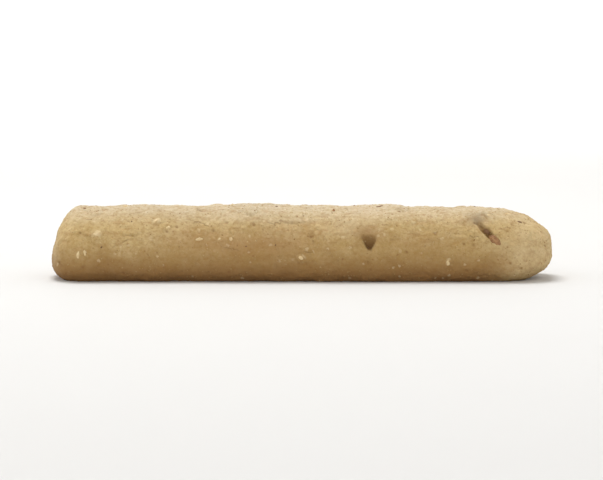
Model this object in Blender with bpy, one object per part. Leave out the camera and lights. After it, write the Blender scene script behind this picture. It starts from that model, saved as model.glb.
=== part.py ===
# An almond biscuit: a hand-shaped finger of dough, baked on its flat underside, with a domed top, one blunt
# end and one longer rounded end, a few chips in the crust and chopped almonds that show in it.
# X runs along the biscuit, -Y is its front side, Z is up. The origin is under its middle, on the underside.
import math
import random

import bmesh
import bpy
from mathutils import Matrix, Vector, noise
from mathutils.bvhtree import BVHTree

# Overall size, in metres.
LENGTH = 0.135
WIDTH = 0.030
HEIGHT = 0.020

# Side outline. Each end has its own tip height; above and below it the outline runs out over a distance.
LEFT_TIP_HEIGHT = 0.0070
LEFT_TOP_RUN = 0.0070
LEFT_TOP_POWER = 1.5
LEFT_FOOT_RUN = 0.0125
RIGHT_TIP_HEIGHT = 0.0086
RIGHT_TOP_RUN = 0.029
RIGHT_TOP_POWER = 2.2
RIGHT_FOOT_RUN = 0.034
FOOT_POWER = 3.0

# The top is not dead level: it rises and falls a little along its length.
SWELL_DEPTH = 0.00035
SWELL_LENGTH = 0.033
SWELL_CREST = 0.056

# Outline seen from above.
LEFT_PLAN_RUN = 0.011
RIGHT_PLAN_RUN = 0.015
PLAN_POWER = 2.5
SWAY = 0.0006
SWAY_LENGTH = 0.150

# Cross-section: widest at this share of the height, domed above, tucked in below and cut off flat beneath.
WIDEST_SHARE = 0.34
SIDE_POWER = 2.7
DOME_POWER = 2.2
TUCK_POWER = 3.0
TUCK_SINK = 0.0020

# Unevenness of the dough: broad swellings, lumps and small knobs, each with its wavelength and depth.
RELIEF = (
    (0.034, 0.00070),
    (0.013, 0.00060),
    (0.0055, 0.00042),
)
RELIEF_SEED = Vector((25.3, 12.5, 21.0))

# Mesh of the crust.
RING_POINTS = 56
MIDDLE_STEP = 0.0021
END_REACH = 0.012
END_RINGS = 9

# Chips in the front of the crust: place along the biscuit from its left tip and height, then the sizes.
NOTCH_PLACE = (0.0852, 0.0110)
NOTCH_WIDTH = 0.0058
NOTCH_HEIGHT = 0.0050
NOTCH_DEPTH = 0.0020
NOTCH_FOOT_WIDTH = 0.16
NOTCH_HEAD_DEPTH = 0.55
GROOVE_PLACE = (0.1167, 0.0138)
GROOVE_LENGTH = 0.0096
GROOVE_WIDTH = 0.0022
GROOVE_DEPTH = 0.0014
GROOVE_HEAD_DEPTH = 0.4
GROOVE_TURN = math.radians(-48)
NOTCH_SEED = 1

# Short cracks, lying nearly along the biscuit. Those on the front each have a place, a length and a turn.
FRONT_CRACKS = (
    ((0.0232, 0.0125), 0.0050, math.radians(-6)),
    ((0.0655, 0.0158), 0.0070, math.radians(1)),
    ((0.0926, 0.0117), 0.0044, math.radians(5)),
)
FRONT_CRACK_SEED = 300
CRACK_SEED = 400
CRACK_COUNT = 15
CRACK_LENGTH = (0.0040, 0.0075)
CRACK_WIDTH = (0.0006, 0.0009)
CRACK_DEPTH = 0.0004
CRACK_BEND = 0.0004
CRACK_WAVES = 1.6
CRACK_TURN = math.radians(18)
CRACK_END_GAP = 0.014
CRACK_FIRST_TURN = 1.0

# The sliver of almond at the lower end of the groove.
SLIVER_PLACE = (0.1190, 0.0112)
SLIVER_LENGTH = 0.0037
SLIVER_WIDTH = 0.0020
SLIVER_THICKNESS = 0.0015
SLIVER_RAISED = -0.0002
SLIVER_SEED = 2

# Chopped almonds. Those on the front each have a place, a length and a turn.
FRONT_ALMONDS = (
    ((0.0083, 0.0076), 0.0026, math.radians(85)),
    ((0.0129, 0.0127), 0.0027, math.radians(8)),
    ((0.0289, 0.0161), 0.0024, math.radians(50)),
    ((0.0470, 0.0116), 0.0021, math.radians(20)),
    ((0.0674, 0.0065), 0.0022, math.radians(-30)),
    ((0.1066, 0.0053), 0.0022, math.radians(75)),
    ((0.1105, 0.0164), 0.0020, math.radians(10)),
    ((0.1170, 0.0178), 0.0034, math.radians(-25)),
)
FRONT_ALMOND_SEED = 100
ALMOND_SEED = 320
ALMOND_COUNT = 38
ALMOND_LENGTH = (0.0024, 0.0052)
ALMOND_WIDTH_SHARE = (0.50, 0.85)
ALMOND_THICKNESS_SHARE = (0.35, 0.60)
ALMOND_PROUD_SHARE = 0.36
ALMOND_END_GAP = 0.008

# Spots elsewhere look out from a core at this share of the height. None is lower than this or on the front.
CORE_SHARE = 0.45
LOWEST_SPOT = 0.0030
FRONT_FACING = 0.45
GOLDEN_TURN = math.pi * (3.0 - math.sqrt(5.0))

SHARP_ANGLE = math.radians(35)
CRUST_COLOUR = (0.50, 0.34, 0.17, 1.0)
CRUST_ROUGHNESS = 0.9


def clear_scene():
    for item in list(bpy.data.objects):
        bpy.data.objects.remove(item, do_unlink=True)


def crust_material():
    material = bpy.data.materials.new("baked_crust")
    material.use_nodes = True
    shader = material.node_tree.nodes["Principled BSDF"]
    shader.inputs["Base Color"].default_value = CRUST_COLOUR
    shader.inputs["Roughness"].default_value = CRUST_ROUGHNESS
    shader.inputs["Metallic"].default_value = 0.0
    return material


# Share of the full size that a rounded end has reached at a distance from its tip.
def end_growth(distance, run, power):
    left_over = 1.0 - min(max(distance / run, 0.0), 1.0)
    return (1.0 - left_over ** power) ** (1.0 / power)


# Top, underside, half width and sideways drift of the cross-section at a distance from the left tip.
def section_sizes(along):
    from_right = LENGTH - along
    swell = 0.5 - 0.5 * math.cos(2.0 * math.pi * (along - SWELL_CREST) / SWELL_LENGTH)
    crown = HEIGHT - SWELL_DEPTH * swell
    left_share = end_growth(along, LEFT_TOP_RUN, LEFT_TOP_POWER)
    right_share = end_growth(from_right, RIGHT_TOP_RUN, RIGHT_TOP_POWER)
    left_top = LEFT_TIP_HEIGHT + (crown - LEFT_TIP_HEIGHT) * left_share
    right_top = RIGHT_TIP_HEIGHT + (crown - RIGHT_TIP_HEIGHT) * right_share
    left_foot = LEFT_TIP_HEIGHT * (1.0 - end_growth(along, LEFT_FOOT_RUN, FOOT_POWER))
    right_foot = RIGHT_TIP_HEIGHT * (1.0 - end_growth(from_right, RIGHT_FOOT_RUN, FOOT_POWER))
    left_plan = end_growth(along, LEFT_PLAN_RUN, PLAN_POWER)
    right_plan = end_growth(from_right, RIGHT_PLAN_RUN, PLAN_POWER)
    half_width = WIDTH / 2.0 * min(left_plan, right_plan)
    drift = SWAY * math.sin(2.0 * math.pi * along / SWAY_LENGTH)
    return min(left_top, right_top), max(left_foot, right_foot), half_width, drift


def signed_power(value, power):
    return math.copysign(abs(value) ** power, value)


# A point of the cross-section, at an angle round it from +Y over the top.
def section_point(along, angle):
    top, foot, half_width, drift = section_sizes(along)
    waist = foot + WIDEST_SHARE * (top - foot)
    across = half_width * signed_power(math.cos(angle), 2.0 / SIDE_POWER)
    if math.sin(angle) >= 0.0:
        height = waist + (top - waist) * math.sin(angle) ** (2.0 / DOME_POWER)
    else:
        sink = TUCK_SINK * min(half_width / (WIDTH / 2.0), 1.0)
        height = waist - (waist - foot + sink) * abs(math.sin(angle)) ** (2.0 / TUCK_POWER)
    return Vector((along - LENGTH / 2.0, across + drift, height))


# Angles whose points stand at even distances round the middle cross-section.
def even_angles(count):
    samples = count * 40
    angles = [2.0 * math.pi * step / samples for step in range(samples + 1)]
    points = [section_point(LENGTH / 2.0, angle) for angle in angles]
    travelled = [0.0]
    for before, after in zip(points, points[1:]):
        travelled.append(travelled[-1] + (after - before).length)
    spread = []
    for step in range(count):
        wanted = travelled[-1] * step / count
        place = next(i for i, length in enumerate(travelled) if length >= wanted)
        spread.append(angles[place])
    return spread


# Distances of the rings from the left tip: close together at the ends, even between them.
def ring_places():
    turns = [0.5 * math.pi * step / END_RINGS for step in range(1, END_RINGS + 1)]
    end = [END_REACH * (1.0 - math.cos(turn)) for turn in turns]
    span = LENGTH - 2.0 * END_REACH
    steps = round(span / MIDDLE_STEP)
    middle = [END_REACH + span * step / steps for step in range(1, steps)]
    return end + middle + [LENGTH - distance for distance in reversed(end)]


def relief_at(point):
    height = 0.0
    for turn, (wavelength, depth) in enumerate(RELIEF):
        height += depth * noise.noise(point / wavelength + RELIEF_SEED * (turn + 1))
    return height


# The whole finger of dough, as one closed mesh of rings with a point at each tip.
def crust_mesh():
    shape = bmesh.new()
    angles = even_angles(RING_POINTS)
    places = ring_places()
    rings = [[shape.verts.new(section_point(place, angle)) for angle in angles] for place in places]
    left_tip = shape.verts.new((-LENGTH / 2.0, 0.0, LEFT_TIP_HEIGHT))
    right_tip = shape.verts.new((LENGTH / 2.0, 0.0, RIGHT_TIP_HEIGHT))
    for step in range(RING_POINTS):
        after = (step + 1) % RING_POINTS
        shape.faces.new((left_tip, rings[0][after], rings[0][step]))
        shape.faces.new((right_tip, rings[-1][step], rings[-1][after]))
        for ring, following in zip(rings, rings[1:]):
            shape.faces.new((ring[step], ring[after], following[after], following[step]))
    bmesh.ops.recalc_face_normals(shape, faces=shape.faces)
    shape.normal_update()
    moves = [vertex.normal * relief_at(vertex.co) for vertex in shape.verts]
    for vertex, move in zip(shape.verts, moves):
        vertex.co += move
    fit_to_size(shape)
    bmesh.ops.triangulate(shape, faces=shape.faces)
    return shape


# Brings the uneven dough back to the overall size and cuts its underside flat at height zero.
def fit_to_size(shape):
    for axis, size, lowest in ((0, LENGTH, -LENGTH / 2.0), (1, WIDTH, -WIDTH / 2.0)):
        values = [vertex.co[axis] for vertex in shape.verts]
        low, high = min(values), max(values)
        for vertex in shape.verts:
            vertex.co[axis] = lowest + (vertex.co[axis] - low) * size / (high - low)
    stretch = HEIGHT / max(vertex.co.z for vertex in shape.verts)
    for vertex in shape.verts:
        vertex.co.z = max(vertex.co.z * stretch, 0.0)


def new_object(name, shape, group):
    mesh = bpy.data.meshes.new(name)
    shape.to_mesh(mesh)
    shape.free()
    item = bpy.data.objects.new(name, mesh)
    group.objects.link(item)
    return item


def new_group(name):
    group = bpy.data.collections.new(name)
    bpy.context.scene.collection.children.link(group)
    return group


# An angular piece: a small ball with its points moved in or out, brought to a size and put in its place.
def chip_shape(size, rounds, roughness, draw, placing):
    shape = bmesh.new()
    bmesh.ops.create_icosphere(shape, subdivisions=rounds, radius=0.5)
    for vertex in shape.verts:
        vertex.co *= 1.0 + draw.uniform(-roughness, roughness)
        vertex.co = Vector((vertex.co.x * size[0], vertex.co.y * size[1], vertex.co.z * size[2]))
    shape.transform(placing)
    return shape


# A placing on the crust: its X runs along the biscuit before it is turned, its Z points out of the crust.
def seat(point, facing, turn, raised):
    along = (Vector((1.0, 0.0, 0.0)) - facing * facing.x).normalized()
    across = facing.cross(along)
    frame = Matrix((along, across, facing)).transposed().to_4x4()
    return Matrix.Translation(point + facing * raised) @ frame @ Matrix.Rotation(turn, 4, "Z")


# The spot on the front at a distance from the left tip and a height, and the way the crust faces there.
def front_spot(tree, place):
    start = Vector((place[0] - LENGTH / 2.0, -WIDTH, place[1]))
    point, facing, _, _ = tree.ray_cast(start, Vector((0.0, 1.0, 0.0)))
    return point, facing


# Spots all round the crust, in even steps along it and turned from one to the next by the golden turn. Each
# comes with its own seeded draw, so that one spot more or less changes no other piece.
def spots_round(tree, count, end_gap, first_turn, seed):
    span = LENGTH - 2.0 * end_gap
    for number in range(count):
        draw = random.Random(seed + number)
        along = end_gap + span * (number + draw.uniform(0.2, 0.8)) / count
        angle = first_turn + GOLDEN_TURN * number + draw.uniform(-0.3, 0.3)
        outward = Vector((0.0, math.cos(angle), math.sin(angle)))
        middle = Vector((along - LENGTH / 2.0, 0.0, HEIGHT * CORE_SHARE))
        point, facing, _, _ = tree.ray_cast(middle + outward * WIDTH, -outward)
        if point.z > LOWEST_SPOT and facing.y > -FRONT_FACING:
            yield point, facing, draw


# The spots named on the front, each with its length, its turn and its own seeded draw.
def front_spots(tree, places, seed):
    for number, (place, length, turn) in enumerate(places):
        yield *front_spot(tree, place), length, turn, random.Random(seed + number)


# The chip that narrows downwards.
def notch_shape(tree, draw):
    size = (NOTCH_WIDTH, NOTCH_HEIGHT, NOTCH_DEPTH * 2.0)
    notch = chip_shape(size, 2, 0.05, draw, Matrix.Identity(4))
    for vertex in notch.verts:
        rise = vertex.co.y / NOTCH_HEIGHT + 0.5
        vertex.co.x *= NOTCH_FOOT_WIDTH + (1.0 - NOTCH_FOOT_WIDTH) * rise
        vertex.co.z *= 1.0 - (1.0 - NOTCH_HEAD_DEPTH) * rise
    notch.transform(seat(*front_spot(tree, NOTCH_PLACE), 0.0, 0.0))
    return notch


# A narrow crooked piece, half sunk in the crust.
def crack_shape(point, facing, length, turn, draw):
    size = (length, draw.uniform(*CRACK_WIDTH), CRACK_DEPTH * 2.0)
    crack = chip_shape(size, 2, 0.12, draw, Matrix.Identity(4))
    phase = draw.uniform(0.0, 2.0 * math.pi)
    for vertex in crack.verts:
        vertex.co.y += CRACK_BEND * math.sin(CRACK_WAVES * math.pi * vertex.co.x / length + phase)
    crack.transform(seat(point, facing, turn, 0.0))
    return crack


def almond_shape(point, facing, length, turn, draw):
    width = length * draw.uniform(*ALMOND_WIDTH_SHARE)
    thickness = length * draw.uniform(*ALMOND_THICKNESS_SHARE)
    raised = thickness * (ALMOND_PROUD_SHARE - 0.5)
    return chip_shape((length, width, thickness), 1, 0.12, draw, seat(point, facing, turn, raised))


# The slanting chip, shallower towards its upper end.
def groove_shape(tree, draw):
    size = (GROOVE_LENGTH, GROOVE_WIDTH, GROOVE_DEPTH * 2.0)
    groove = chip_shape(size, 2, 0.08, draw, Matrix.Identity(4))
    for vertex in groove.verts:
        down = vertex.co.x / GROOVE_LENGTH + 0.5
        vertex.co.z *= GROOVE_HEAD_DEPTH + (1.0 - GROOVE_HEAD_DEPTH) * down
    groove.transform(seat(*front_spot(tree, GROOVE_PLACE), GROOVE_TURN, 0.0))
    return groove


# The notch, the slanting groove and short cracks along the biscuit are cut out of the crust.
def cut_chips(crust, tree):
    draw = random.Random(NOTCH_SEED)
    group = new_group("chips")
    new_object("notch", notch_shape(tree, draw), group)
    new_object("groove", groove_shape(tree, draw), group)
    for spot in front_spots(tree, FRONT_CRACKS, FRONT_CRACK_SEED):
        new_object("crack", crack_shape(*spot), group)
    for point, facing, draw in spots_round(tree, CRACK_COUNT, CRACK_END_GAP, CRACK_FIRST_TURN, CRACK_SEED):
        length = draw.uniform(*CRACK_LENGTH)
        turn = draw.uniform(-CRACK_TURN, CRACK_TURN)
        new_object("crack", crack_shape(point, facing, length, turn, draw), group)
    join_group(crust, group, "DIFFERENCE", "EXACT")


# Chopped almonds, sunk into the crust and lying along it, and the sliver at the lower end of the groove.
def add_almonds(crust, tree):
    group = new_group("almonds")
    sliver_size = (SLIVER_LENGTH, SLIVER_WIDTH, SLIVER_THICKNESS)
    sliver_seat = seat(*front_spot(tree, SLIVER_PLACE), GROOVE_TURN, SLIVER_RAISED)
    new_object("sliver", chip_shape(sliver_size, 2, 0.10, random.Random(SLIVER_SEED), sliver_seat), group)
    for spot in front_spots(tree, FRONT_ALMONDS, FRONT_ALMOND_SEED):
        new_object("almond", almond_shape(*spot), group)
    for point, facing, draw in spots_round(tree, ALMOND_COUNT, ALMOND_END_GAP, 0.0, ALMOND_SEED):
        length = draw.uniform(*ALMOND_LENGTH)
        turn = draw.uniform(0.0, math.pi)
        new_object("almond", almond_shape(point, facing, length, turn, draw), group)
    join_group(crust, group, "UNION", "MANIFOLD")


# Joins a group of pieces to the crust, or cuts them out of it, for good, and removes the pieces. The union
# of the almonds is made by the MANIFOLD solver, because EXACT leaves a few of its edges open.
def join_group(crust, group, operation, solver):
    joint = crust.modifiers.new("pieces", "BOOLEAN")
    joint.operation = operation
    joint.operand_type = "COLLECTION"
    joint.collection = group
    joint.solver = solver
    bpy.context.view_layer.update()
    evaluated = crust.evaluated_get(bpy.context.evaluated_depsgraph_get())
    joined = bpy.data.meshes.new_from_object(evaluated)
    crust.modifiers.remove(joint)
    crust.data = joined
    for item in list(group.objects):
        bpy.data.objects.remove(item, do_unlink=True)
    bpy.data.collections.remove(group)


def crust_tree(crust):
    shape = bmesh.new()
    shape.from_mesh(crust.data)
    tree = BVHTree.FromBMesh(shape)
    shape.free()
    return tree


# Puts the origin under the middle of the finished biscuit.
def centre_on_origin(item):
    places = [vertex.co for vertex in item.data.vertices]
    middle_x = (min(place.x for place in places) + max(place.x for place in places)) / 2.0
    middle_y = (min(place.y for place in places) + max(place.y for place in places)) / 2.0
    item.data.transform(Matrix.Translation((-middle_x, -middle_y, 0.0)))


def almond_biscuit():
    crust = new_object("almond_biscuit", crust_mesh(), bpy.context.scene.collection)
    tree = crust_tree(crust)
    cut_chips(crust, tree)
    add_almonds(crust, tree)
    centre_on_origin(crust)
    crust.data.name = "almond_biscuit"
    crust.data.materials.clear()
    crust.data.materials.append(crust_material())
    crust.data.shade_smooth()
    crust.data.set_sharp_from_angle(angle=SHARP_ANGLE)


clear_scene()
almond_biscuit()
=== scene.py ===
# An almond biscuit, dressed: a hand-shaped finger with a dry sandy crust, chopped almonds baked into it
# and loose crumb.
import math
import random

import bmesh
import bpy
import numpy as np
from mathutils import Matrix, Vector, noise
from mathutils.bvhtree import BVHTree


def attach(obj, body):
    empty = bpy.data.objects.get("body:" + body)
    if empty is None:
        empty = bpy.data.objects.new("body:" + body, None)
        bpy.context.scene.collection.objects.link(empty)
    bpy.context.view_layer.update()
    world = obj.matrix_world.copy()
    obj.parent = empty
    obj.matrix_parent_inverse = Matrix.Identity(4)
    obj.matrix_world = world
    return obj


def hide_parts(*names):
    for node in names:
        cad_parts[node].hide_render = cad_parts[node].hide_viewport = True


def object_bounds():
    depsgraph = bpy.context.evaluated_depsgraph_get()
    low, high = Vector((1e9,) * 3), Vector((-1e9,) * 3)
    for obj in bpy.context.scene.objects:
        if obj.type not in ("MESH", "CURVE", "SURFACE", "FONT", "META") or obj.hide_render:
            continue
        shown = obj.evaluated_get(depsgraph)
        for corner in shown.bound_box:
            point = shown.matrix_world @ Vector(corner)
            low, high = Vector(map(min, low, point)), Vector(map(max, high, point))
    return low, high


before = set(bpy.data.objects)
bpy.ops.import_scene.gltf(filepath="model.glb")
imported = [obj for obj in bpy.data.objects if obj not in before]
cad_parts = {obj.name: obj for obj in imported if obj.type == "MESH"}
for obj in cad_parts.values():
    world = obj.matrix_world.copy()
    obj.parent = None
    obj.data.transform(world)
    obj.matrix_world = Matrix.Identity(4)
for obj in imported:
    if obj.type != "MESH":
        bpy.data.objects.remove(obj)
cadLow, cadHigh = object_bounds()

biscuitNode = "almond_biscuit"
bodyName = "root"

# The dough before it is grained: the same form as the frame's solid, in metres.
dough = {
    "length": 0.135,
    "width": 0.030,
    "height": 0.020,
    "leftTipHeight": 0.0070,
    "leftTopRun": 0.0070,
    "leftTopPower": 1.5,
    "leftFootRun": 0.0125,
    "rightTipHeight": 0.0086,
    "rightTopRun": 0.029,
    "rightTopPower": 2.2,
    "rightFootRun": 0.034,
    "footPower": 3.0,
    "swellDepth": 0.00035,
    "swellLength": 0.033,
    "swellCrest": 0.056,
    "leftPlanRun": 0.011,
    "rightPlanRun": 0.015,
    "planPower": 2.5,
    "sway": 0.0006,
    "swayLength": 0.150,
    "widestShare": 0.34,
    "sidePower": 2.7,
    "domePower": 2.2,
    "tuckPower": 3.0,
    "tuckSink": 0.0020,
    "relief": ((0.034, 0.00070), (0.013, 0.00060), (0.0055, 0.00042)),  # wavelength and depth
    "reliefSeed": (25.3, 12.5, 21.0),
    "ringPoints": 214,
    "undersideDensity": 0.42,  # points on the hidden underside, against those above it
    "ringStep": 0.00033,
    "endReach": 0.012,
    "endRings": 46,
    "angleSamples": 20001,  # for spreading a ring's points evenly
    "flatBelow": 1e-6,
}


def endGrowth(distance, run, power):
    leftOver = 1.0 - np.clip(distance / run, 0.0, 1.0)
    return (1.0 - leftOver ** power) ** (1.0 / power)


def sectionSizes(along):
    fromRight = dough["length"] - along
    swell = 0.5 - 0.5 * np.cos(2.0 * math.pi * (along - dough["swellCrest"]) / dough["swellLength"])
    crown = dough["height"] - dough["swellDepth"] * swell
    leftTip = dough["leftTipHeight"]
    rightTip = dough["rightTipHeight"]
    leftRise = endGrowth(along, dough["leftTopRun"], dough["leftTopPower"])
    rightRise = endGrowth(fromRight, dough["rightTopRun"], dough["rightTopPower"])
    leftTop = leftTip + (crown - leftTip) * leftRise
    rightTop = rightTip + (crown - rightTip) * rightRise
    leftFoot = leftTip * (1.0 - endGrowth(along, dough["leftFootRun"], dough["footPower"]))
    rightFoot = rightTip * (1.0 - endGrowth(fromRight, dough["rightFootRun"], dough["footPower"]))
    leftPlan = endGrowth(along, dough["leftPlanRun"], dough["planPower"])
    rightPlan = endGrowth(fromRight, dough["rightPlanRun"], dough["planPower"])
    halfWidth = dough["width"] / 2.0 * np.minimum(leftPlan, rightPlan)
    drift = dough["sway"] * np.sin(2.0 * math.pi * along / dough["swayLength"])
    return np.minimum(leftTop, rightTop), np.maximum(leftFoot, rightFoot), halfWidth, drift


# Points of every cross-section at every angle round it, from +Y over the top.
def sectionPoints(places, angles):
    top, foot, halfWidth, drift = (sizes[:, None] for sizes in sectionSizes(places))
    waist = foot + dough["widestShare"] * (top - foot)
    sideways = np.cos(angles)[None, :]
    upward = np.sin(angles)[None, :]
    across = drift + halfWidth * np.sign(sideways) * np.abs(sideways) ** (2.0 / dough["sidePower"])
    sink = dough["tuckSink"] * np.minimum(halfWidth / (dough["width"] / 2.0), 1.0)
    above = waist + (top - waist) * np.clip(upward, 0.0, 1.0) ** (2.0 / dough["domePower"])
    below = waist - (waist - foot + sink) * np.clip(-upward, 0.0, 1.0) ** (2.0 / dough["tuckPower"])
    along = np.broadcast_to((places - dough["length"] / 2.0)[:, None], across.shape)
    return np.stack((along, across, np.where(upward >= 0.0, above, below)), axis=-1)


# Angles spread evenly round the middle cross-section, with fewer on the underside.
def ringAngles():
    angles = np.linspace(0.0, 2.0 * math.pi, dough["angleSamples"])
    points = sectionPoints(np.array([dough["length"] / 2.0]), angles)[0]
    steps = np.linalg.norm(np.diff(points, axis=0), axis=1)
    steps *= np.where(points[1:, 2] < 0.0, dough["undersideDensity"], 1.0)
    travelled = np.concatenate(([0.0], np.cumsum(steps)))
    wanted = travelled[-1] * np.arange(dough["ringPoints"]) / dough["ringPoints"]
    return np.interp(wanted, travelled, angles)


def ringPlaces():
    turn = 0.5 * math.pi * np.arange(1, dough["endRings"] + 1) / dough["endRings"]
    end = dough["endReach"] * (1.0 - np.cos(turn))
    span = dough["length"] - 2.0 * dough["endReach"]
    steps = round(span / dough["ringStep"])
    middle = dough["endReach"] + span * np.arange(1, steps) / steps
    return np.concatenate((end, middle, dough["length"] - end[::-1]))


# Rings joined to each other, and to one point at each tip.
def ringFaces(ringCount, pointCount):
    ring = np.arange(ringCount - 1)[:, None] * pointCount
    step = np.arange(pointCount)[None, :]
    here = ring + step
    after = ring + (step + 1) % pointCount
    sides = np.stack((here, after, after + pointCount, here + pointCount), axis=-1)
    leftTip = ringCount * pointCount
    lastRing = (ringCount - 1) * pointCount
    faces = sides.reshape(-1, 4).tolist()
    for number in range(pointCount):
        following = (number + 1) % pointCount
        faces.append((leftTip, following, number))
        faces.append((leftTip + 1, lastRing + number, lastRing + following))
    return faces


def meshNormals(mesh, points):
    mesh.vertices.foreach_set("co", points.astype(np.float32).ravel())
    mesh.update()
    normals = np.empty(len(points) * 3, dtype=np.float32)
    mesh.vertex_normals.foreach_get("vector", normals)
    return normals.reshape(-1, 3).astype(float)


def smoothStep(low, high, values):
    share = np.clip((values - low) / (high - low), 0.0, 1.0)
    return share * share * (3.0 - 2.0 * share)


# Perlin noise at every point, about -0.5 to 0.5; a stretch above 1 draws it out along that axis.
def noiseAt(points, wavelength, seed, stretch=(1.0, 1.0, 1.0)):
    places = points / (wavelength * np.array(stretch)) + np.array(seed)
    return np.array([noise.noise(Vector(place)) for place in places])


def fitToSize(points):
    for axis, size in ((0, dough["length"]), (1, dough["width"])):
        low = points[:, axis].min()
        high = points[:, axis].max()
        points[:, axis] = (points[:, axis] - low) * size / (high - low) - size / 2.0
    points[:, 2] *= dough["height"] / points[:, 2].max()
    points[:, 2] = np.maximum(points[:, 2], 0.0)


def doughForm():
    angles = ringAngles()
    places = ringPlaces()
    rings = sectionPoints(places, angles).reshape(-1, 3)
    tips = np.array(((-dough["length"] / 2.0, 0.0, dough["leftTipHeight"]),
                     (dough["length"] / 2.0, 0.0, dough["rightTipHeight"])))
    points = np.concatenate((rings, tips))
    faces = ringFaces(len(places), len(angles))
    mesh = bpy.data.meshes.new("crust")
    mesh.from_pydata(points.tolist(), [], faces)
    normals = meshNormals(mesh, points)
    relief = np.zeros(len(points))
    for turn, (wavelength, depth) in enumerate(dough["relief"]):
        relief += depth * noiseAt(points, wavelength, np.array(dough["reliefSeed"]) * (turn + 1))
    points += normals * relief[:, None]
    fitToSize(points)
    return mesh, points, faces


print("dough: shaping the finger")
crustMesh, doughPoints, doughFaces = doughForm()
doughNormals = meshNormals(crustMesh, doughPoints)
doughTree = BVHTree.FromPolygons(doughPoints.tolist(), doughFaces)


# Where pieces sit on the dough. X of a seat runs along the biscuit before its turn, and its Z points
# outwards.
spots = {
    "coreShare": 0.45,
    "lowest": 0.0030,
    "frontFacing": 0.45,
    "goldenTurn": math.pi * (3.0 - math.sqrt(5.0)),
    "alongDraw": (0.2, 0.8),  # where a spot lies within its own share of the length
    "turnDraw": 0.3,
}


def seat(point, facing, turn, raised):
    along = (Vector((1.0, 0.0, 0.0)) - facing * facing.x).normalized()
    across = facing.cross(along)
    axes = Matrix((along, across, facing)).transposed().to_4x4()
    return Matrix.Translation(point + facing * raised) @ axes @ Matrix.Rotation(turn, 4, "Z")


def frontSpot(place, tree=doughTree):
    start = Vector((place[0] - dough["length"] / 2.0, -dough["width"], place[1]))
    point, facing, _, _ = tree.ray_cast(start, Vector((0.0, 1.0, 0.0)))
    return point, facing


def spotsRound(count, endGap, firstTurn, seed):
    span = dough["length"] - 2.0 * endGap
    for number in range(count):
        draw = random.Random(seed + number)
        along = endGap + span * (number + draw.uniform(*spots["alongDraw"])) / count
        angle = firstTurn + spots["goldenTurn"] * number
        angle += draw.uniform(-spots["turnDraw"], spots["turnDraw"])
        outward = Vector((0.0, math.cos(angle), math.sin(angle)))
        middle = Vector((along - dough["length"] / 2.0, 0.0, dough["height"] * spots["coreShare"]))
        point, facing, _, _ = doughTree.ray_cast(middle + outward * dough["width"], -outward)
        if point.z > spots["lowest"] and facing.y > -spots["frontFacing"]:
            yield point, facing, draw


def frontSpots(places, seed):
    for number, (place, length, turn) in enumerate(places):
        yield *frontSpot(place), length, turn, random.Random(seed + number)


# What is broken out of the crust: a notch that narrows downwards, a slanting groove and short cracks.
chips = {
    "notchPlace": (0.0854, 0.0110),
    "notchWidth": 0.0066,
    "notchHeight": 0.0050,
    "notchDepth": 0.0020,
    "notchFootWidth": 0.16,  # width at the foot, as a share of the width at the head
    "notchLean": 0.0002,  # the foot lies this much further right
    "notchSides": (0.0, 0.55),  # the sides slope over this share of the half width
    "notchWander": 0.12,
    "notchFoot": (-0.04, 0.22),  # the depth comes in over this share of the height
    "notchHead": (1.12, 0.50),
    "notchNear": 1.2,  # its reach from its middle, in heights
    "notchStray": 0.3,
    "notchFade": 0.76,  # how much of its shade is lost towards the head
    "notchFadeOver": (0.25, 0.95),
    "groovePlace": (0.1167, 0.0138),
    "grooveLength": 0.0096,
    "grooveWidth": 0.0022,
    "grooveDepth": 0.0014,
    "grooveHead": 0.6,  # its depth at the upper end, as a share
    "grooveTurn": math.radians(-48),
    "grooveTaper": (-0.9, 0.4),  # its depth comes in over this stretch, from -1 at one end to 1
    "frontCracks": (  # place, length and turn
        ((0.0232, 0.0125), 0.0050, math.radians(-6)),
        ((0.0655, 0.0158), 0.0070, math.radians(1)),
        ((0.0926, 0.0117), 0.0044, math.radians(5)),
    ),
    "frontCrackSeed": 300,
    "crackSeed": 400,
    "crackCount": 15,
    "crackLength": (0.0040, 0.0075),
    "crackWidth": (0.0006, 0.0009),
    "crackDepth": 0.0004,
    "crackBend": 0.0007,
    "crackBendLength": 0.0017,
    "crackBendSeed": (0.0, 50.0, 1.5),
    "crackTurn": math.radians(18),
    "crackEndGap": 0.014,
    "crackFirstTurn": 1.0,
    "grooveWander": 0.45,  # how far a chip's edge strays
    "crackWander": 0.90,
    "edgeGrain": 0.0011,
    "edgeSeed": (2.0, 9.0, 4.0),
    "chipShadeDepth": (0.0002, 0.0011),  # a chip's painted shade comes in over these depths
}


# Depth of one chip below the dough, at every point near it.
def chipDepth(placing, length, width, depth, wander, shaping=None):
    local = (doughPoints - np.array(placing.translation)) @ np.array(placing.to_3x3())
    near = np.where((np.abs(local) < max(length, width)).all(axis=1))[0]
    x, y = local[near, 0], local[near, 1]
    halfLength = np.full(len(near), length / 2.0)
    deep = np.full(len(near), depth)
    if shaping:
        x, y, halfLength, deep = shaping(x, y, halfLength, deep)
    reach = (x / halfLength) ** 2 + (y / (width / 2.0)) ** 2
    reach += wander * noiseAt(doughPoints[near], chips["edgeGrain"], chips["edgeSeed"])
    sunk = np.zeros(len(doughPoints))
    sunk[near] = deep * np.sqrt(np.clip(1.0 - reach, 0.0, 1.0))
    return sunk


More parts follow.
